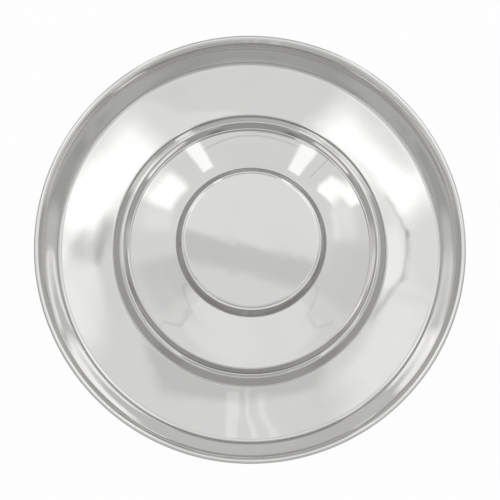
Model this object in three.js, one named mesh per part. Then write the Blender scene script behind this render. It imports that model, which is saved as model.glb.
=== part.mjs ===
// Puppy weaning dish: a pressed stainless steel sheet with a rolled rim, the wire inside the roll and a rubber
// ring underneath. Millimetres, +Z up. The origin lies on the table, under the middle of the dish.
import * as THREE from 'three';

// Pressed sheet, from the middle outwards. Runs lie along the radius and rises or falls along the height, and
// both are measured on the middle of the sheet. The shoulder sags below its chord by its hollow.
const sheetThickness = 0.5;
const topRadius = 43.6;
const collarRun = 3.9;
const collarFall = 10.5;
const shoulderRun = 30.8;
const shoulderFall = 23.8;
const shoulderHollow = 1;
const ridgeBackRun = 5.1;
const ridgeBackRise = 3;
const ridgeFaceRun = 6.8;
const ridgeFaceFall = 13.3;
const channelWidth = 36.8;
const channelFall = 1.8;
const wallRun = 8.1;
const wallRise = 19.1;
const lipRun = 3.3;
const lipRise = 2.6;

// Inside radii of the bends, in the same order.
const topEdgeBend = 1.2;
const collarFootBend = 3;
const valleyBend = 1.4;
const ridgeBend = 1.7;
const channelInnerBend = 2.5;
const channelOuterBend = 3.8;
const wallBend = 13;

// Rolled rim and its wire. The run and rise of the lip lead from the top of the wall to the middle of the wire.
const wireRadius = 0.8;
const wireClearance = 0.3;
const curlTurn = THREE.MathUtils.degToRad(285);

// Rubber ring bonded under the channel, inset from the foot of the wall.
const ringThickness = 2.2;
const ringWidth = 9;
const ringInset = 5;
const ringEdgeBend = 0.8;
const bondGap = 0.3;

// Fineness of the turned solids. A multiple of four keeps them centred on the axis.
const sides = 48;
const bendStep = THREE.MathUtils.degToRad(30);

const steel = new THREE.MeshStandardMaterial({ color: 0xcfcdca, metalness: 1, roughness: 0.12 });
const wireSteel = new THREE.MeshStandardMaterial({ color: 0xb4b3b0, metalness: 1, roughness: 0.35 });
const rubber = new THREE.MeshStandardMaterial({ color: 0x1d1d1e, metalness: 0, roughness: 0.85 });

const point = (r, z) => new THREE.Vector2(r, z);

// Points of an arc about a centre, from one angle through a signed turn, both ends included.
function arc(centre, radius, from, turn) {
  const steps = Math.max(2, Math.ceil(Math.abs(turn) / bendStep));
  return Array.from({ length: steps + 1 }, (_, i) => {
    const angle = from + (turn * i) / steps;
    return point(centre.x + radius * Math.cos(angle), centre.y + radius * Math.sin(angle));
  });
}

// An outline through corners, each rounded by its own bend radius. A bend takes at most half of a side.
function rounded(corners) {
  const bends = corners.slice(1, -1).flatMap((corner, i) => {
    const back = corners[i].at.clone().sub(corner.at);
    const ahead = corners[i + 2].at.clone().sub(corner.at);
    const turn = Math.atan2(-back.cross(ahead), -back.dot(ahead));
    const reach = Math.tan(Math.abs(turn) / 2);
    const radius = Math.min(corner.bend, Math.min(back.length(), ahead.length()) / 2 / reach);
    back.normalize();
    const start = corner.at.clone().addScaledVector(back, radius * reach);
    const outwards = point(back.y, -back.x).multiplyScalar(Math.sign(turn));
    const centre = start.clone().addScaledVector(outwards, radius);
    return arc(centre, radius, Math.atan2(-outwards.y, -outwards.x), turn);
  });
  return [corners[0].at, ...bends, corners.at(-1).at];
}

// A copy of a path moved sideways by a signed distance, to the left of its direction of travel.
function shifted(path, distance) {
  const normals = path.slice(1).map((to, i) => {
    const along = to.clone().sub(path[i]).normalize();
    return point(-along.y, along.x);
  });
  return path.map((at, i) => {
    if (at.x === 0) return point(0, at.y + distance);
    const before = normals[i - 1];
    const after = normals[i] ?? before;
    const mitre = before.clone().add(after).divideScalar(1 + before.dot(after));
    return at.clone().addScaledVector(mitre, distance);
  });
}

// A section turned about the vertical axis. It runs anticlockwise, seen with the radius to the right.
function turned(name, section, material) {
  const mesh = new THREE.Mesh(new THREE.LatheGeometry(section, sides), material);
  mesh.name = name;
  mesh.rotation.x = Math.PI / 2;
  return mesh;
}

// Corners of the sheet's middle, stretch by stretch. A hollow stretch is bowed below its chord.
function walk(start, stretches) {
  return stretches.reduce((corners, { run, rise, hollow, bend }) => {
    const from = corners.at(-1).at;
    const chord = point(run, rise);
    const below = point(rise, -run).normalize();
    const bow = from.clone().addScaledVector(chord, 0.5).addScaledVector(below, hollow ?? 0);
    const bowed = hollow ? [{ at: bow, bend: Infinity }] : [];
    return [...corners, ...bowed, { at: from.clone().add(chord), bend: bend + sheetThickness / 2 }];
  }, [{ at: start, bend: 0 }]);
}

const stretches = [
  { run: topRadius, rise: 0, bend: topEdgeBend },
  { run: collarRun, rise: -collarFall, bend: collarFootBend },
  { run: shoulderRun, rise: -shoulderFall, hollow: shoulderHollow, bend: valleyBend },
  { run: ridgeBackRun, rise: ridgeBackRise, bend: ridgeBend },
  { run: ridgeFaceRun, rise: -ridgeFaceFall, bend: channelInnerBend },
  { run: channelWidth, rise: -channelFall, bend: channelOuterBend },
  { run: wallRun, rise: wallRise, bend: wallBend },
];

// The underside of the channel, as a height above the foot of the wall at a distance in from it.
const channelSlope = channelFall / channelWidth;
const underside = (inset) => inset * channelSlope - (sheetThickness / 2) * Math.hypot(1, channelSlope);

// The rubber ring carries the sheet, so its thickness sets how high the foot of the wall lies.
const footHeight = ringThickness + bondGap - underside(ringInset);
const toFoot = stretches.slice(0, -1);
const footRadius = toFoot.reduce((sum, stretch) => sum + stretch.run, 0);
const topHeight = footHeight - toFoot.reduce((sum, stretch) => sum + stretch.rise, 0);

const corners = walk(point(0, topHeight), stretches);
const wallTop = corners.at(-1).at;
const wireCentre = point(wallTop.x + lipRun, wallTop.y + lipRise);
const curlRadius = wireRadius + wireClearance + sheetThickness / 2;

// The lip leaves the top of the wall and meets the curl where it touches it, with the wire on its outer side.
function lipEnd() {
  const toWire = wireCentre.clone().sub(wallTop);
  const length = Math.sqrt(toWire.lengthSq() - curlRadius ** 2);
  const angle = toWire.angle() + Math.asin(curlRadius / toWire.length());
  return point(wallTop.x + length * Math.cos(angle), wallTop.y + length * Math.sin(angle));
}

function panSection() {
  const end = lipEnd();
  const from = Math.atan2(end.y - wireCentre.y, end.x - wireCentre.x);
  const curl = arc(wireCentre, curlRadius, from, -curlTurn).slice(1);
  const spine = [...rounded([...corners, { at: end, bend: 0 }]), ...curl];
  return [...shifted(spine, -sheetThickness / 2), ...shifted(spine, sheetThickness / 2).reverse()];
}

const wireSection = () => arc(wireCentre, wireRadius, 0, 2 * Math.PI);

function ringSection() {
  const outer = footRadius - ringInset;
  const inner = outer - ringWidth;
  const innerTop = point(inner, footHeight + underside(ringInset + ringWidth) - bondGap);
  const section = rounded([
    { at: innerTop, bend: 0 },
    { at: point(inner, 0), bend: ringEdgeBend },
    { at: point(outer, 0), bend: ringEdgeBend },
    { at: point(outer, ringThickness), bend: 0 },
  ]);
  return [...section, innerTop];
}

const dish = new THREE.Group();
dish.add(
  turned('dish_pan', panSection(), steel),
  turned('rim_wire', wireSection(), wireSteel),
  turned('non_slip_ring', ringSection(), rubber),
);

export default dish;
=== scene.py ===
"""Puppy weaning dish: the looks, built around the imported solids. Metres, +Z up, origin on the table."""
import math

import bpy
import numpy as np
from mathutils import Matrix, Vector


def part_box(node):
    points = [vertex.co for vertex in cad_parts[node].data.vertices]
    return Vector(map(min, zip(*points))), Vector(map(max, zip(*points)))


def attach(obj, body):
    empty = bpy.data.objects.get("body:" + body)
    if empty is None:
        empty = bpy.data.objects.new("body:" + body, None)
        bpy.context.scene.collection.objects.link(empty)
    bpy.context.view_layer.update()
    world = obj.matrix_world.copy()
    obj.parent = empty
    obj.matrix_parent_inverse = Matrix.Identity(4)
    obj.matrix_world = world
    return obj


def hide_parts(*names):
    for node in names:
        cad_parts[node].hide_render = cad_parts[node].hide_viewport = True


MM = 0.001
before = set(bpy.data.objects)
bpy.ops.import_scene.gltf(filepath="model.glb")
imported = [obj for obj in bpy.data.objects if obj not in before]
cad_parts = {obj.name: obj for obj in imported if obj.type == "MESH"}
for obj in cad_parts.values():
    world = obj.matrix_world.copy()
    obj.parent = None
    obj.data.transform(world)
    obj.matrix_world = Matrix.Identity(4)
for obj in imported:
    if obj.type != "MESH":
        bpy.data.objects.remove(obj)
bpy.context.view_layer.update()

# Pressed sheet from the middle outwards, on the middle of its thickness, in millimetres: run along the
# radius, rise along the height, bow below the chord, sway (a bow below the first half and above the
# second), and inside radius of the bend that ends the stretch.
SHEET = 0.5
STRETCHES = {
    "top": (43.65, 0.0, 0.0, 0.0, 2.8),
    "collar": (3.8, -10.2, 0.0, 0.0, 3.2),
    "shoulder": (31.7, -24.35, 0.9, 0.08, 0.8),
    "ridge_back": (4.2, 2.1, 0.1, 0.0, 0.4),
    "ridge_top": (1.8, -0.6, -0.05, 0.0, 1.2),
    "ridge_face": (5.0, -11.35, 0.05, 0.0, 2.8),
    "channel": (36.7, -2.0, -0.15, -0.05, 3.3),
    "wall": (8.25, 19.1, 0.03, 0.12, 13.5),
}
# Curl of the sheet round the rim's wire: gap between the two, and turn.
WIRE_CLEARANCE = 0.3
CURL_TURN = math.radians(285)

# Slow waves that the press leaves in the sheet, in millimetres and degrees: height, waves round the dish,
# radius where the wave is highest, breadth along the radius, and turn about the axis.
PRESS_WAVES = (
    (0.10, 2, 108, 14, 40),
    (0.05, 3, 112, 12, 10),
    (0.03, 5, 104, 10, 25),
    (0.05, 2, 64, 9, 70),
    (0.015, 7, 62, 7, 15),
    (0.05, 2, 131, 5, 55),
    (0.02, 6, 130, 4, 20),
)
# Shallow dents: height, radius and turn of the middle, breadth along the radius and round the axis.
DENTS = (
    (-0.06, 97, 0, 6, 26),
    (0.05, 102, 187, 6, 8),
    (-0.04, 108, 178, 7, 9),
    (0.04, 66, 195, 6, 9),
    (-0.04, 61, 207, 5, 7),
    (0.03, 68, 216, 5, 8),
    (0.04, 64, -20, 6, 9),
    (-0.03, 69, -34, 5, 7),
    (0.04, 107, 268, 9, 5),
    (-0.04, 104, 278, 9, 6),
    (0.05, 111, 226, 6, 6),
)
# Waves and dents start at this radius, so that the top stays flat.
FLAT_TOP = 45

# Rubber ring under the channel, in millimetres.
RING_THICKNESS = 2.2
RING_WIDTH = 9.0
RING_EDGE = 0.8
RING_GROOVES = 3
GROOVE_DEPTH = 0.35

# Fineness of the turned surfaces. Round the axis: the angles of the sides.
SIDES = 240
ANGLES = np.linspace(0, 2 * math.pi, SIDES, endpoint=False)
# Along a section: turn of a step and fewest steps in a bend, and in millimetres the longest step, the step
# beside a bend on a straight side, and the distance below which two points are one.
BEND_STEP = math.radians(6)
BEND_STEPS = 3
LONG_STEP = 1.6
SHORT_STEP = 0.15
SAME_POINT = 0.001
# Points across the rubber ring's grooves, and the step between points kept on the sheet's lower face.
GROOVE_POINTS = 73
LOWER_FACE_STEP = 2
# Faces that meet at more than this angle aren't shaded as one.
SHARP_EDGE = math.radians(50)

# Steel where it is clean, where it is smeared, and in bands between two radii, in metres, that fade across
# an edge. The bands are painted light: painted shade in dark rings at the collar and the ridge, standing in
# for dark reflections, a painted highlight on the lip and the rim's top, and the darkest painted shade at the
# rim's outer edge.
STEEL_CLEAN = (0.73, 0.728, 0.723, 1)
STEEL_SMEARED = (0.705, 0.701, 0.694, 1)
STEEL_PAINTED_SHADE = (0.55, 0.543, 0.535, 1)
STEEL_PAINTED_EDGE_SHADE = (0.4, 0.395, 0.39, 1)
STEEL_PAINTED_HIGHLIGHT = (0.8, 0.797, 0.792, 1)
STEEL_PAINTED_LIGHT_BANDS = (
    (0.0442, 0.0482, STEEL_PAINTED_SHADE),
    (0.0793, 0.0832, STEEL_PAINTED_SHADE),
    (0.0858, 0.0905, STEEL_PAINTED_SHADE),
    (0.1351, 0.1389, STEEL_PAINTED_HIGHLIGHT),
    (0.1392, 0.1410, STEEL_PAINTED_EDGE_SHADE),
)
BAND_EDGE = 0.0005
STEEL_ROUGHNESS = (0.015, 0.035)
WORN_ROUGHNESS = 0.03

# Marks in the materials below. A noise is its scale and detail. Levels are the noise values between which a
# mark comes in. Turns are in radians and heights in metres.
ROUND_MARK_DETAIL = 3
LINE_DENSITY = 2400
LINE_SHORTNESS = 0.4
LINE_LEVELS = (0.35, 0.65)
SMEAR_NOISE = (22, 4)
SMEAR_LEVELS = (0.42, 0.72)
SCRATCH_DENSITY = 900
SCRATCH_DETAIL = 1
SCRATCH_LEVELS = (0.72, 0.8)
SCRATCH_TURNS = (0.5, 1.9)
SCRATCH_SQUEEZE = (1, 0.02, 1)
MARK_STRENGTH = 0.04
MARK_HEIGHT = 0.00004
BUFFED_NOISE = (75, 1)
BUFFED_HEIGHT = 0.00003

# Drawn wire, with marks along its length.
WIRE_DARK = (0.50, 0.495, 0.485, 1)
WIRE_LIGHT = (0.62, 0.615, 0.605, 1)
WIRE_ROUGHNESS = (0.28, 0.42)
WIRE_DENSITY = 9000
WIRE_SHORTNESS = 4
WIRE_LEVELS = (0.3, 0.7)
WIRE_STRENGTH = 0.15
WIRE_HEIGHT = 0.00003

# Moulded rubber, with a fine grain and a dusty bloom.
RUBBER_CLEAN = (0.022, 0.022, 0.023, 1)
RUBBER_DUSTY = (0.05, 0.049, 0.047, 1)
RUBBER_ROUGHNESS = (0.68, 0.88)
BLOOM_NOISE = (60, 5)
BLOOM_LEVELS = (0.3, 0.7)
DUST_LEVELS = (0.45, 0.75)
GRAIN_NOISE = (2600, 2)
GRAIN_STRENGTH = 0.5
GRAIN_HEIGHT = 0.00006

# Camera over the dish, in millimetres, measured from the middle of the rim's top, and its lens.
CAMERA_PLACE = (-20.7, -117.5, 843.4)
CAMERA_AIM = (-0.5, -3.4, 0.0)
CAMERA_LENS = 94.8

# White light tent round the dish: radius in millimetres, elevation of its foot in degrees, rows and columns
# of points, and brightness of its cloth.
TENT_RADIUS = 870
TENT_FOOT = -1.6
TENT_ROWS = 40
TENT_COLUMNS = 97
TENT_BRIGHTNESS = 0.88
# Duller skirt right round the tent: elevation, half height and soft edge in degrees, and added brightness.
SKIRT = (35, 9, 4, -0.17)
# A panel of the tent's cloth is brighter or darker than the rest: bearing clockwise from the back and
# elevation of its middle, half width, half height, soft edge and lean, all in degrees, and added brightness.
TENT_PANELS = {
    "ceiling_sheet": (14, 74.5, 26, 8, 1, 0, 0.08),
    "ceiling_gap": (14, 83.7, 12, 1.2, 1, 0, -0.15),
    "left_post": (-25, 8, 3.5, 6, 2, 0, 0.45),
    "left_column": (-24, 26, 3, 5, 3, 0, 0.9),
    "left_strip": (-50, 8, 9, 4, 6, 15, 0.53),
    "left_strip_end": (-65, 9, 9, 5, 8, 0, 0.12),
    "right_post": (28, 6, 4, 7, 2, 0, 0.45),
    "right_seam": (37.5, 11, 0.25, 7, 0.5, 0, -0.25),
    "right_column": (28, 25, 3.5, 5, 3, 0, 0.9),
    "right_strip": (53, 7.5, 9, 2.8, 3, -25, 0.5),
    "right_strip_end": (70, 6, 10, 3, 6, 0, 0.15),
    "back_line": (0, 6.7, 22, 0.25, 0.7, 0, -0.25),
    "back_gap": (0, 29, 17, 9, 4, 0, -0.17),
    "back_top_gap": (0, 43, 14, 4, 4, 0, -0.15),
    "left_lamp": (-24, 42, 2.5, 3, 1.5, 0, 0.8),
    "right_lamp": (25, 42.5, 3.5, 3.5, 1.5, 0, 0.85),
    "left_box": (-43, 48.5, 6, 3, 3, 0, 0.65),
    "right_box": (39, 50, 7, 5, 4, 0, 0.7),
    "right_arc": (65, 48.5, 7, 2, 3, 0, 0.55),
    "left_arc": (-62, 46, 10, 2.5, 8, 0, 0.4),
    "left_low_box": (-47, 41.5, 6, 4, 4, 0, 0.45),
    "right_low_box": (48, 40.5, 7, 4.5, 4, 0, 0.42),
    "left_ceiling": (-45, 67, 7, 3.5, 5, 0, 0.55),
    "left_ceiling_side": (-88, 68, 6, 4, 5, 0, 0.24),
    "left_ceiling_gap": (-62, 70.2, 3.2, 1.7, 3, 0, -0.32),
    "left_ceiling_edge": (-66, 66.3, 4, 1.2, 1.5, 0, 0.3),
    "right_ceiling": (42, 64.5, 8, 3.5, 5, 0, 0.55),
    "right_ceiling_side": (70, 71.5, 3.5, 3, 3, 0, 0.18),
    "right_ceiling_front": (110, 70, 9, 4, 5, 0, 0.17),
    "right_ceiling_back_line": (59, 67.6, 3.2, 0.35, 1.2, 12, -0.3),
    "right_ceiling_line": (72, 68, 3, 0.35, 1.2, -23, -0.3),
    "right_ceiling_front_line": (85, 71.7, 3.6, 0.35, 1.2, -51, -0.3),
    "top_gap": (180, 84.2, 10.5, 5.3, 3, 0, -0.17),
    "front_streak": (172, 76, 0.3, 5, 0.6, 0, 0.14),
    "front_streak_right": (164, 76, 0.5, 4, 0.5, 0, 0.1),
    "front_streak_left": (183, 76, 0.6, 5, 0.5, 0, 0.12),
    "front_high_gap": (180, 54.5, 14, 10, 6, 0, -0.38),
    "left_high_gap": (-136, 55, 13, 10, 6, 0, -0.34),
    "left_far_gap": (-101, 51, 8.5, 8, 6, 0, -0.27),
    "right_high_gap": (136, 55, 13, 10, 6, 0, -0.34),
    "right_far_gap": (101, 51, 8.5, 8, 6, 0, -0.28),
    "left_high_line": (-131, 52, 8, 2, 2.5, 0, 0.8),
    "right_high_line": (126, 49.7, 9, 2, 2.5, 0, 0.8),
    "front_gap": (180, 41, 40, 4, 6, 0, -0.1),
    "front_sheet": (180, 13, 46, 10, 4, 0, 0.09),
    "right_light": (50, 25, 12, 5, 9, 0, 0.45),
    "left_light": (-48, 25, 11, 5, 9, 0, 0.45),
    "right_side": (100, 12, 18, 9, 10, 0, -0.08),
    "left_side": (-108, 10, 16, 8, 10, 0, -0.13),
    "left_seam": (-125.8, 12.8, 10.4, 0.5, 2, 24, -0.12),
    "left_seam_top": (-131, 18.5, 4.8, 0.5, 2, -18, -0.12),
    "right_seam_low": (126.6, 11, 11, 0.5, 2, -24, -0.12),
    "right_seam_top": (131.5, 16.7, 5.4, 0.5, 2, 13, -0.12),
}

# White floor: half its width in metres, its paint, and the share of plain white over the paint, as the
# camera sees it and as the steel mirrors it.
FLOOR_HALF = 3.0
FLOOR_PAINT = (0.75, 0.75, 0.75, 1)
FLOOR_ROUGHNESS = 0.9
FLOOR_WHITE_SEEN = 0.97
FLOOR_WHITE_MIRRORED = 0.6


def arc(centre, radius, start, turn):
    """Points centre + radius (cos a, sin a) for a from start through turn, both ends included."""
    along = abs(turn) * radius
    steps = max(BEND_STEPS, math.ceil(abs(turn) / BEND_STEP), math.ceil(along / LONG_STEP))
    angles = start + turn * np.linspace(0, 1, steps + 1)
    return centre + radius * np.stack([np.cos(angles), np.sin(angles)], 1)


def eased(start, end):
    """Points between the ends of a straight side: one a short step from either end, and even ones between.

    A side of less than four short steps has none.
    """
    side = np.linalg.norm(end - start)
    if side < 4 * SHORT_STEP:
        return np.empty((0, 2))
    ease = SHORT_STEP / side
    shares = np.linspace(ease, 1 - ease, math.ceil(side / LONG_STEP) + 1)
    return start + (end - start) * shares[:, None]


def rounded(corners, bends):
    """A path through corners, where corner i becomes an arc of radius bends[i].

    An arc takes at most half of a side. Straight sides between the arcs get points of their own. Where two
    arcs touch, they share one point.
    """
    path = [corners[:1]]
    for before, corner, after, bend in zip(corners, corners[1:], corners[2:], bends[1:]):
        back, ahead = before - corner, after - corner
        turn = math.atan2(-(back[0] * ahead[1] - back[1] * ahead[0]), -(back @ ahead))
        reach = math.tan(abs(turn) / 2)
        radius = min(bend, min(np.hypot(*back), np.hypot(*ahead)) / 2 / reach)
        back = back / np.hypot(*back)
        out = np.array([back[1], -back[0]]) * np.sign(turn)
        centre = corner + back * radius * reach + out * radius
        turned = arc(centre, radius, math.atan2(-out[1], -out[0]), turn)
        path += [eased(path[-1][-1], turned[0]), turned]
    path += [eased(path[-1][-1], corners[-1]), corners[-1:]]
    path = np.concatenate(path)
    apart = np.linalg.norm(np.diff(path, axis=0), axis=1) > SAME_POINT
    return path[np.concatenate([[True], apart])]


def left_normals(path):
    """The mitre at each point: the sum of its sides' unit left normals over one plus their dot product."""
    along = np.diff(path, axis=0)
    along /= np.linalg.norm(along, axis=1, keepdims=True)
    normal = np.stack([-along[:, 1], along[:, 0]], 1)
    before = np.concatenate([normal[:1], normal])
    after = np.concatenate([normal, normal[-1:]])
    mitre = (before + after) / (1 + np.sum(before * after, 1, keepdims=True))
    mitre[path[:, 0] == 0] = 0, 1
    return mitre


def new_object(name, points, faces, material):
    """A smooth mesh of one material, linked to the scene."""
    mesh = bpy.data.meshes.new(name)
    mesh.from_pydata(points, [], faces)
    mesh.shade_smooth()
    mesh.materials.append(material)
    thing = bpy.data.objects.new(name, mesh)
    bpy.context.scene.collection.objects.link(thing)
    return thing


def turned_piece(name, section, material):
    """A section turned about +Z: point i at angle a lies at (r cos a, r sin a, z), r and z from section[i].

    The section has shape (points, sides or 1, 2) and runs anticlockwise with the radius to the right. It
    closes on itself, or starts and ends on the axis, where a fan of triangles closes each pole. The piece
    stands for its node.
    """
    radius, height = np.broadcast_to(section, (len(section), SIDES, 2)).transpose(2, 0, 1)
    places = np.stack([radius * np.cos(ANGLES), radius * np.sin(ANGLES), height], 2) * MM
    on_axis = not radius[0].any()
    rings = places[1:-1] if on_axis else places
    rows = np.arange(rings.size // 3).reshape(-1, SIDES)
    near, far = (rows[:-1], rows[1:]) if on_axis else (rows, np.roll(rows, -1, 0))
    quads = np.stack([near, np.roll(near, -1, 1), np.roll(far, -1, 1), far], 2).reshape(-1, 4)
    points, faces = rings.reshape(-1, 3), quads.tolist()
    if on_axis:
        pole = np.full(SIDES, len(points))
        points = np.concatenate([points, places[:1, 0], places[-1:, 0]])
        faces += np.stack([pole, np.roll(rows[0], -1), rows[0]], 1).tolist()
        faces += np.stack([rows[-1], np.roll(rows[-1], -1), pole + 1], 1).tolist()
    piece = new_object(name, points.tolist(), faces, material)
    piece.data.set_sharp_from_angle(angle=SHARP_EDGE)
    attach(piece, "root")
    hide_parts(name.removesuffix("_look"))


def wire_place():
    """Middle of the rim wire's section and its radius, in millimetres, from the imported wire."""
    low, high = (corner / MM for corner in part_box("rim_wire"))
    radius = (high.z - low.z) / 2
    return np.array([high.x - radius, high.z - radius]), radius


def rim_top():
    """Height of the rim's top in metres: the top of the wire, its clearance and the sheet."""
    middle, radius = wire_place()
    return (middle[1] + radius + WIRE_CLEARANCE + SHEET) * MM


def sheet_spine():
    """The middle of the sheet from the axis outwards: bent stretches, a lip that touches the curl, the curl.

    A stretch that bows or sways has two more corners, at shares t of a quarter and three quarters of its
    chord. They lie below it by 4 t (1 - t) times the bow, plus the sway at the first and minus it at the
    second.
    """
    place = np.array([0.0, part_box("dish_pan")[1].z / MM - SHEET / 2])
    corners, bends = [place], [0.0]
    for run, rise, bow, sway, bend in STRETCHES.values():
        chord = np.array([run, rise])
        if bow or sway:
            below = np.array([rise, -run]) / np.hypot(run, rise)
            for share, side in ((0.25, 1), (0.75, -1)):
                depth = 4 * share * (1 - share) * bow + side * sway
                corners.append(place + chord * share + below * depth)
                bends.append(math.inf)
        place = place + chord
        corners.append(place)
        bends.append(bend + SHEET / 2)
    wire, wire_radius = wire_place()
    curl_radius = wire_radius + WIRE_CLEARANCE + SHEET / 2
    across = wire - place
    reach = np.hypot(*across)
    slope = math.atan2(across[1], across[0]) + math.asin(curl_radius / reach)
    lip = math.sqrt(reach ** 2 - curl_radius ** 2) * np.array([math.cos(slope), math.sin(slope)])
    curl = arc(wire, curl_radius, slope + math.pi / 2, -CURL_TURN)
    return np.concatenate([rounded(np.array([*corners, place + lip]), bends), curl[1:]])


def bell(offset):
    """exp(-offset^2)."""
    return np.exp(-(offset ** 2))


def press_marks(radius):
    """How far the sheet lies off its section, for radius r down and angle a across.

    Each wave adds height cos(count (a - turn)) exp(-((r - middle) / breadth)^2). Each dent adds height
    exp(-((r - middle) / breadth)^2 - (middle d / length)^2), where d is the angle from its turn to a.
    """
    marks = np.zeros((len(radius), SIDES))
    for height, count, middle, breadth, turn in PRESS_WAVES:
        swing = np.cos(count * (ANGLES - math.radians(turn)))
        marks += height * np.outer(bell((radius - middle) / breadth), swing)
    for height, middle, turn, breadth, length in DENTS:
        aside = (ANGLES - math.radians(turn) + math.pi) % (2 * math.pi) - math.pi
        marks += height * np.outer(bell((radius - middle) / breadth), bell(middle * aside / length))
    marks[radius < FLAT_TOP] = 0
    return marks


def dish_pan():
    """The sheet's two faces: the spine moved along its normal by the marks and half the thickness either way.

    The lower face, which shows less, has fewer of the spine's points.
    """
    spine = sheet_spine()
    normals = left_normals(spine)[:, None]
    marks = press_marks(spine[:, 0])[:, :, None]
    lower, upper = (spine[:, None] + normals * (marks + side * SHEET / 2) for side in (-1, 1))
    section = np.concatenate([lower[:-1:LOWER_FACE_STEP], lower[-1:], upper[::-1]])
    turned_piece("dish_pan_look", section, polished_steel())


def rim_wire():
    """A round wire: a circle turned about the axis."""
    section = arc(*wire_place(), 0, 2 * math.pi)[:-1]
    turned_piece("rim_wire_look", section[:, None], wire_steel())


def non_slip_ring():
    """A flat ring with round lower edges, whose underside rises by depth sin^4 of the way across a groove."""
    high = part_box("non_slip_ring")[1] / MM
    outer = high.x
    inner = outer - RING_WIDTH
    across = np.linspace(0, 1, GROOVE_POINTS)
    grooves = np.stack([
        inner + RING_EDGE + (RING_WIDTH - 2 * RING_EDGE) * across,
        GROOVE_DEPTH * np.sin(math.pi * RING_GROOVES * across) ** 4,
    ], 1)
    section = np.concatenate([
        [[inner, high.z]],
        arc(np.array([inner + RING_EDGE, RING_EDGE]), RING_EDGE, math.pi, math.pi / 2),
        grooves[1:-1],
        arc(np.array([outer - RING_EDGE, RING_EDGE]), RING_EDGE, -math.pi / 2, math.pi / 2),
        [[outer, RING_THICKNESS]],
    ])
    turned_piece("non_slip_ring_look", section[:, None], black_rubber())


def wired(tree, kind, inputs, **settings):
    """A new node with its settings, whose inputs, by name or place, are values or other nodes' outputs."""
    node = tree.nodes.new(kind)
    for name, value in settings.items():
        setattr(node, name, value)
    for key, value in inputs.items():
        if isinstance(value, bpy.types.NodeSocket):
            tree.links.new(value, node.inputs[key])
        else:
            node.inputs[key].default_value = value
    return node


def computed(tree, operation, *values):
    """The output of a Math node."""
    return wired(tree, "ShaderNodeMath", dict(enumerate(values)), operation=operation).outputs[0]


def vector_computed(tree, operation, *vectors):
    """The outputs of a Vector Math node: Vector, and Value for a length or a dot product."""
    return wired(tree, "ShaderNodeVectorMath", dict(enumerate(vectors)), operation=operation).outputs


def mapped(tree, value, low, high, to_low, to_high):
    """The value carried smoothly from one range to another, and held at its ends."""
    inputs = {"Value": value, "From Min": low, "From Max": high, "To Min": to_low, "To Max": to_high}
    return wired(tree, "ShaderNodeMapRange", inputs, interpolation_type="SMOOTHSTEP").outputs["Result"]


def tinted(tree, factor, low, high):
    """A colour that goes from low to high with the factor."""
    inputs = {"Factor": factor, "A": low, "B": high}
    return wired(tree, "ShaderNodeMix", inputs, data_type="RGBA").outputs["Result"]


def noise(tree, where, scale, detail):
    """Noise over a place."""
    return wired(tree, "ShaderNodeTexNoise", {"Vector": where, "Scale": scale, "Detail": detail}).outputs[0]


def bumped(tree, **inputs):
    """The normal that a Bump node makes of its inputs."""
    return wired(tree, "ShaderNodeBump", inputs).outputs[0]


def object_place(tree):
    """The place on the piece."""
    return wired(tree, "ShaderNodeTexCoord", {}).outputs["Object"]


def off_axis(tree):
    """The place on the piece without its height, how far that is from the axis, and the height."""
    parts = wired(tree, "ShaderNodeSeparateXYZ", {0: object_place(tree)}).outputs
    flat = wired(tree, "ShaderNodeCombineXYZ", {0: parts[0], 1: parts[1]}).outputs[0]
    return flat, vector_computed(tree, "LENGTH", flat)["Value"], parts[2]


def new_group(name, inputs, output, vectors=()):
    """An empty shader node group of vector and number inputs and a number output, and its inner sockets."""
    group = bpy.data.node_groups.new(name, "ShaderNodeTree")
    for socket in vectors:
        group.interface.new_socket(socket, in_out="INPUT", socket_type="NodeSocketVector")
    for socket in inputs:
        group.interface.new_socket(socket, in_out="INPUT", socket_type="NodeSocketFloat")
    group.interface.new_socket(output, in_out="OUTPUT", socket_type="NodeSocketFloat")
    return group, group.nodes.new("NodeGroupInput").outputs, group.nodes.new("NodeGroupOutput").inputs


def placed(tree, group, inputs, label=""):
    """The output of a group placed in a tree, with its inputs by name."""
    return wired(tree, "ShaderNodeGroup", inputs, node_tree=group, label=label).outputs[0]


def round_marks_group():
    """Marks that run round the axis: noise over bearing times shortness, radius and height times density."""
    group, given, made = new_group("round_marks", ("Density", "Shortness"), "Marks")
    flat, radius, height = off_axis(group)
    bearing = vector_computed(group, "NORMALIZE", flat)[0]
    bearing = wired(group, "ShaderNodeSeparateXYZ", {0: bearing}).outputs
    seed = wired(group, "ShaderNodeCombineXYZ", {
        0: computed(group, "MULTIPLY", bearing[0], given["Shortness"]),
        1: computed(group, "MULTIPLY", bearing[1], given["Shortness"]),
        2: computed(group, "MULTIPLY", radius, given["Density"]),
    }).outputs[0]
    depth = computed(group, "MULTIPLY", height, given["Density"])
    inputs = {"Vector": seed, "W": depth, "Scale": 1, "Detail": ROUND_MARK_DETAIL}
    marks = wired(group, "ShaderNodeTexNoise", inputs, noise_dimensions="4D").outputs[0]
    group.links.new(marks, made["Marks"])
    return group


def scratches_group():
    """Fine straight scratches: long thin noise in two directions, kept only at its peaks."""
    group, given, made = new_group("fine_scratches", ("Density", "Rarity", "Full"), "Scratches")
    where = object_place(group)
    layers = []
    for turn in SCRATCH_TURNS:
        inputs = {"Vector": where, "Rotation": (0, 0, turn), "Scale": SCRATCH_SQUEEZE}
        squeezed = wired(group, "ShaderNodeMapping", inputs).outputs[0]
        peaks = noise(group, squeezed, given["Density"], SCRATCH_DETAIL)
        layers.append(mapped(group, peaks, given["Rarity"], given["Full"], 0, 1))
    group.links.new(computed(group, "MAXIMUM", *layers), made["Scratches"])
    return group


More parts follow.
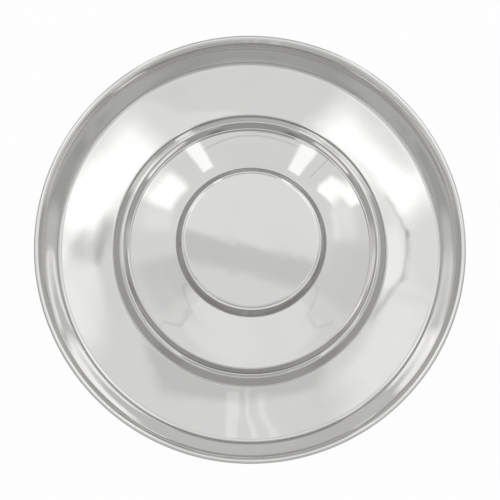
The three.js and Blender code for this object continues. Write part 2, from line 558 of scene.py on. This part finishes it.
def painted_light_band_group():
    """A band round the axis for painted shade or painted highlight: 1 between two radii, falling to 0 across
    an edge at either of them.
    """
    group, given, made = new_group("painted_light_band", ("Inner", "Outer", "Edge"), "Band")
    radius = off_axis(group)[1]
    past = computed(group, "DIVIDE", computed(group, "SUBTRACT", radius, given["Inner"]), given["Edge"])
    left = computed(group, "DIVIDE", computed(group, "SUBTRACT", given["Outer"], radius), given["Edge"])
    band = mapped(group, computed(group, "MINIMUM", past, left), -0.5, 0.5, 0, 1)
    group.links.new(band, made["Band"])
    return group


def panel_group():
    """A soft-edged patch of the tent: 1 within its half width and height, falling to 0 across the edge.

    A way's offsets are the angles of its parts along the panel's right and up, seen from the tent's middle.
    """
    vectors = ("Way", "Middle", "Right", "Up")
    group, given, made = new_group("tent_panel", ("Half Width", "Half Height", "Edge"), "Patch", vectors)
    ahead = vector_computed(group, "DOT_PRODUCT", given["Way"], given["Middle"])["Value"]
    masks = []
    for side, half in (("Right", "Half Width"), ("Up", "Half Height")):
        aside = vector_computed(group, "DOT_PRODUCT", given["Way"], given[side])["Value"]
        offset = computed(group, "ABSOLUTE", computed(group, "ARCTAN2", aside, ahead))
        past = computed(group, "SUBTRACT", offset, given[half])
        masks.append(mapped(group, computed(group, "DIVIDE", past, given["Edge"]), 0.5, -0.5, 0, 1))
    group.links.new(computed(group, "MULTIPLY", *masks), made["Patch"])
    return group


def new_material(name):
    """A material with its output and its Principled shader alone."""
    material = bpy.data.materials.new(name)
    material.use_nodes = True
    tree = material.node_tree
    return material, tree, tree.nodes["Principled BSDF"]


def polished_steel():
    """Buffed sheet: a slightly wavy mirror with turning lines, wiped smears, hair scratches, and bands of
    painted shade and painted highlight.
    """
    material, tree, shader = new_material("polished_steel")
    where = object_place(tree)
    lines = placed(tree, round_marks, {"Density": LINE_DENSITY, "Shortness": LINE_SHORTNESS})
    rarity, full = SCRATCH_LEVELS
    scratches = placed(tree, fine_scratches, {"Density": SCRATCH_DENSITY, "Rarity": rarity, "Full": full})
    smear = mapped(tree, noise(tree, where, *SMEAR_NOISE), *SMEAR_LEVELS, 0, 1)
    colour = tinted(tree, smear, STEEL_CLEAN, STEEL_SMEARED)
    # Painted shade and painted highlight in bands round the axis, over the clean and smeared colour.
    for inner, outer, steel in STEEL_PAINTED_LIGHT_BANDS:
        band = placed(tree, painted_light_band, {"Inner": inner, "Outer": outer, "Edge": BAND_EDGE})
        colour = tinted(tree, band, colour, steel)
    worn = mapped(tree, computed(tree, "MAXIMUM", scratches, smear), 0, 1, 0, WORN_ROUGHNESS)
    rough = computed(tree, "ADD", mapped(tree, lines, *LINE_LEVELS, *STEEL_ROUGHNESS), worn)
    buffed = bumped(tree, Strength=1, Distance=BUFFED_HEIGHT, Height=noise(tree, where, *BUFFED_NOISE))
    height = computed(tree, "SUBTRACT", lines, scratches)
    normal = bumped(tree, Strength=MARK_STRENGTH, Distance=MARK_HEIGHT, Height=height, Normal=buffed)
    shader.inputs["Metallic"].default_value = 1
    tree.links.new(colour, shader.inputs["Base Color"])
    tree.links.new(rough, shader.inputs["Roughness"])
    tree.links.new(normal, shader.inputs["Normal"])
    return material


def wire_steel():
    """Drawn wire: satin, with long marks along its length."""
    material, tree, shader = new_material("wire_steel")
    marks = placed(tree, round_marks, {"Density": WIRE_DENSITY, "Shortness": WIRE_SHORTNESS})
    normal = bumped(tree, Strength=WIRE_STRENGTH, Distance=WIRE_HEIGHT, Height=marks)
    shader.inputs["Metallic"].default_value = 1
    tree.links.new(tinted(tree, marks, WIRE_DARK, WIRE_LIGHT), shader.inputs["Base Color"])
    tree.links.new(mapped(tree, marks, *WIRE_LEVELS, *WIRE_ROUGHNESS), shader.inputs["Roughness"])
    tree.links.new(normal, shader.inputs["Normal"])
    return material


def black_rubber():
    """Moulded rubber: near black, matt, with a fine grain and a dusty bloom."""
    material, tree, shader = new_material("black_rubber")
    where = object_place(tree)
    bloom = noise(tree, where, *BLOOM_NOISE)
    dust = mapped(tree, bloom, *DUST_LEVELS, 0, 1)
    grain = noise(tree, where, *GRAIN_NOISE)
    normal = bumped(tree, Strength=GRAIN_STRENGTH, Distance=GRAIN_HEIGHT, Height=grain)
    tree.links.new(tinted(tree, dust, RUBBER_CLEAN, RUBBER_DUSTY), shader.inputs["Base Color"])
    tree.links.new(mapped(tree, bloom, *BLOOM_LEVELS, *RUBBER_ROUGHNESS), shader.inputs["Roughness"])
    tree.links.new(normal, shader.inputs["Normal"])
    return material


def tent_cloth():
    """Glowing cloth: a plain brightness plus the skirt's and each panel's."""
    material, tree, shader = new_material("tent_cloth")
    tree.nodes.remove(shader)
    way = vector_computed(tree, "SUBTRACT", object_place(tree), (0, 0, rim_top()))[0]
    way = vector_computed(tree, "NORMALIZE", way)[0]
    upward = wired(tree, "ShaderNodeSeparateXYZ", {0: way}).outputs[2]
    height = computed(tree, "DEGREES", computed(tree, "ARCSINE", upward))
    middle, half_height, edge, extra = SKIRT
    offset = computed(tree, "ABSOLUTE", computed(tree, "SUBTRACT", height, middle))
    skirt = mapped(tree, offset, half_height + edge / 2, half_height - edge / 2, 0, 1)
    level = computed(tree, "MULTIPLY_ADD", skirt, extra, TENT_BRIGHTNESS)
    patch = panel_group()
    for label, (bearing, elevation, half_width, half_height, edge, lean, extra) in TENT_PANELS.items():
        turn = Matrix.Rotation(-math.radians(bearing), 3, "Z")
        turn = turn @ Matrix.Rotation(math.radians(elevation), 3, "X")
        turn = turn @ Matrix.Rotation(math.radians(lean), 3, "Y")
        panel = placed(tree, patch, {
            "Way": way,
            "Right": turn.col[0],
            "Middle": turn.col[1],
            "Up": turn.col[2],
            "Half Width": math.radians(half_width),
            "Half Height": math.radians(half_height),
            "Edge": math.radians(edge),
        }, label)
        level = computed(tree, "MULTIPLY_ADD", panel, extra, level)
    glow = wired(tree, "ShaderNodeEmission", {"Strength": level})
    tree.links.new(glow.outputs[0], tree.nodes["Material Output"].inputs["Surface"])
    return material


def staged(name, points, faces, material):
    """An object that isn't part of the dish."""
    thing = new_object(name, points, faces, material)
    return thing


def light_tent():
    """A dome round the middle of the rim, which the camera looks through.

    A point lies at radius times (cos e cos a, cos e sin a, sin e) for elevation e down and angle a across.
    """
    heights = np.radians(np.linspace(TENT_FOOT, 90, TENT_ROWS))
    elevation, angle = np.meshgrid(heights, np.linspace(0, 2 * math.pi, TENT_COLUMNS), indexing="ij")
    across = np.cos(elevation)
    dome = np.stack([across * np.cos(angle), across * np.sin(angle), np.sin(elevation)], 2)
    points = dome.reshape(-1, 3) * TENT_RADIUS * MM + (0, 0, rim_top())
    rows = np.arange(len(points)).reshape(elevation.shape)
    faces = np.stack([rows[:-1, :-1], rows[1:, :-1], rows[1:, 1:], rows[:-1, 1:]], 2).reshape(-1, 4)
    tent = staged("light_tent", points.tolist(), faces.tolist(), tent_cloth())
    tent.visible_camera = False


def white_floor():
    """A level floor at the dish's foot: pale paint, whiter to the eye and in mirrors, clear from below."""
    material, tree, shader = new_material("white_floor")
    shader.inputs["Base Color"].default_value = FLOOR_PAINT
    shader.inputs["Roughness"].default_value = FLOOR_ROUGHNESS
    path = wired(tree, "ShaderNodeLightPath", {}).outputs
    mirrored = computed(tree, "MAXIMUM", path["Is Glossy Ray"], path["Is Transmission Ray"])
    mirrored = computed(tree, "MULTIPLY", mirrored, FLOOR_WHITE_MIRRORED)
    seen = computed(tree, "MULTIPLY", path["Is Camera Ray"], FLOOR_WHITE_SEEN)
    share = computed(tree, "MAXIMUM", seen, mirrored)
    glow = wired(tree, "ShaderNodeEmission", {"Strength": 1})
    lit = wired(tree, "ShaderNodeMixShader", {0: share, 1: shader.outputs[0], 2: glow.outputs[0]})
    clear = wired(tree, "ShaderNodeBsdfTransparent", {})
    below = wired(tree, "ShaderNodeNewGeometry", {}).outputs["Backfacing"]
    both = wired(tree, "ShaderNodeMixShader", {0: below, 1: lit.outputs[0], 2: clear.outputs[0]})
    tree.links.new(both.outputs[0], tree.nodes["Material Output"].inputs["Surface"])
    corners = [(x * FLOOR_HALF, y * FLOOR_HALF, 0) for x, y in ((-1, -1), (1, -1), (1, 1), (-1, 1))]
    staged("white_floor", corners, [(0, 1, 2, 3)], material)


def white_world():
    """A plain white room behind everything."""
    world = bpy.data.worlds.new("white_room")
    world.use_nodes = True
    world.node_tree.nodes["Background"].inputs["Color"].default_value = (1, 1, 1, 1)
    bpy.context.scene.world = world


def photo_camera():
    """A camera at its place over the dish, aimed so that the dish's back is at the top of the picture."""
    rim = Vector((0, 0, rim_top()))
    place, aim = (rim + Vector(point) * MM for point in (CAMERA_PLACE, CAMERA_AIM))
    away = (place - aim).normalized()
    right = Vector((0, 1, 0)).cross(away).normalized()
    turn = Matrix((right, away.cross(right), away)).transposed().to_4x4()
    camera = bpy.data.objects.new("camera", bpy.data.cameras.new("camera"))
    camera.data.lens = CAMERA_LENS
    camera.matrix_world = Matrix.Translation(place) @ turn
    bpy.context.scene.collection.objects.link(camera)
    bpy.context.scene.camera = camera


bpy.context.scene.view_settings.view_transform = "Standard"
photo_camera()
white_world()
white_floor()
light_tent()

round_marks = round_marks_group()
fine_scratches = scratches_group()
painted_light_band = painted_light_band_group()
dish_pan()
rim_wire()
non_slip_ring()
